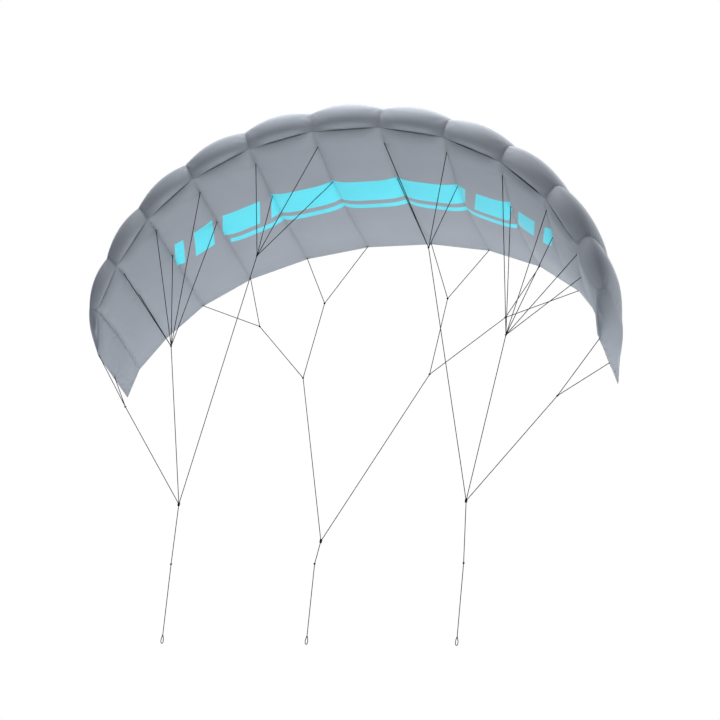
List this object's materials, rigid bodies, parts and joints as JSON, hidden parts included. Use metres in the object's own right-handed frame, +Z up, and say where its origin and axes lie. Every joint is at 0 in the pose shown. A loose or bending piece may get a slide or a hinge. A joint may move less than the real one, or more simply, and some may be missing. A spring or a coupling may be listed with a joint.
{
  "type": "trainer kite",
  "caption": "Three-line soft trainer kite in flight: arched ram-air canopy of open-nosed cells, fanned bridle, brake bridle and the tops of the flying lines.",
  "frame": {"origin": "bottom of the end loop of the middle flying line, the brake line", "axes": "+Z up along the lines towards the canopy, -Y towards the canopy's open noses, +X towards the right hand tip"},
  "size_m": [2.1044, 0.8245, 2.0907],
  "materials": {
    "canopy_cloth": "matte grey ripstop nylon",
    "line_cord": "dark braided line"
  },
  "bodies": {
    "root": {"upper_panel_1": "canopy_cloth", "lower_panel_1": "canopy_cloth", "upper_panel_2": "canopy_cloth", "lower_panel_2": "canopy_cloth", "upper_panel_3": "canopy_cloth", "lower_panel_3": "canopy_cloth", "upper_panel_4": "canopy_cloth", "lower_panel_4": "canopy_cloth", "upper_panel_5": "canopy_cloth", "lower_panel_5": "canopy_cloth", "upper_panel_6": "canopy_cloth", "lower_panel_6": "canopy_cloth", "upper_panel_7": "canopy_cloth", "lower_panel_7": "canopy_cloth", "upper_panel_8": "canopy_cloth", "lower_panel_8": "canopy_cloth", "upper_panel_9": "canopy_cloth", "lower_panel_9": "canopy_cloth", "upper_panel_10": "canopy_cloth", "lower_panel_10": "canopy_cloth", "upper_panel_11": "canopy_cloth", "lower_panel_11": "canopy_cloth", "upper_panel_12": "canopy_cloth", "lower_panel_12": "canopy_cloth", "upper_panel_13": "canopy_cloth", "lower_panel_13": "canopy_cloth", "rib_1": "canopy_cloth", "rib_2": "canopy_cloth", "rib_3": "canopy_cloth", "rib_4": "canopy_cloth", "rib_5": "canopy_cloth", "rib_6": "canopy_cloth", "rib_7": "canopy_cloth", "rib_8": "canopy_cloth", "rib_9": "canopy_cloth", "rib_10": "canopy_cloth", "rib_11": "canopy_cloth", "rib_12": "canopy_cloth", "bridle_fan_tip_left": "line_cord", "bridle_main_tip_left": "line_cord", "bridle_fan_middle_left": "line_cord", "bridle_main_middle_left": "line_cord", "bridle_fan_centre_left": "line_cord", "bridle_main_centre_left": "line_cord", "brake_bridle_left": "line_cord", "leader_left": "line_cord", "flying_line_left": "line_cord", "bridle_fan_tip_right": "line_cord", "bridle_main_tip_right": "line_cord", "bridle_fan_middle_right": "line_cord", "bridle_main_middle_right": "line_cord", "bridle_fan_centre_right": "line_cord", "bridle_main_centre_right": "line_cord", "brake_bridle_right": "line_cord", "leader_right": "line_cord", "flying_line_right": "line_cord", "leader_brake": "line_cord", "flying_line_brake": "line_cord"}
  },
  "joints": []
}
